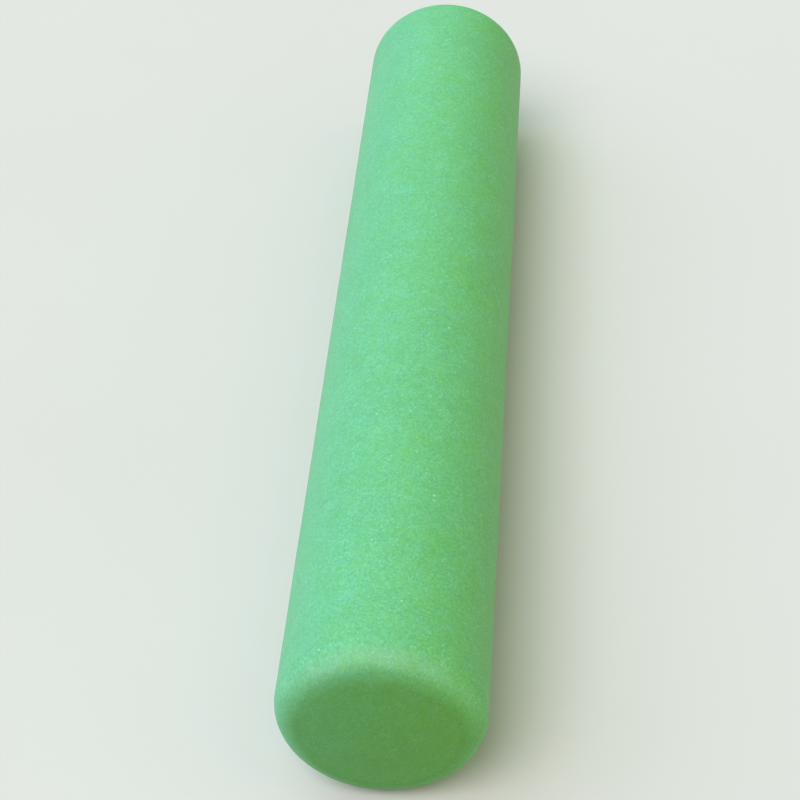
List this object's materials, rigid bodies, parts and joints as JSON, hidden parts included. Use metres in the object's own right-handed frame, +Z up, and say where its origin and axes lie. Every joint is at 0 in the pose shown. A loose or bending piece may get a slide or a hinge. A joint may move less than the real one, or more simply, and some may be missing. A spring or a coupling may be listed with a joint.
{
  "type": "foam roller",
  "caption": "Full-length solid round foam roller for massage, balance and stretching, with a satin closed-cell skin and softly rounded rims.",
  "frame": {"origin": "on the surface that the roller lies on, under the middle of its length", "axes": "+X along the roller, from the near end to the far end; +Z up; the roller's own axis is parallel to X, one radius above the surface"},
  "size_m": [0.9144, 0.1522, 0.1523],
  "materials": {
    "core_foam": "matte",
    "skin_foam": "satin",
    "end_foam": "matte"
  },
  "bodies": {
    "root": {"foam_core": "core_foam", "side_skin": "skin_foam", "near_end_skin": "end_foam", "far_end_skin": "end_foam"}
  },
  "joints": []
}
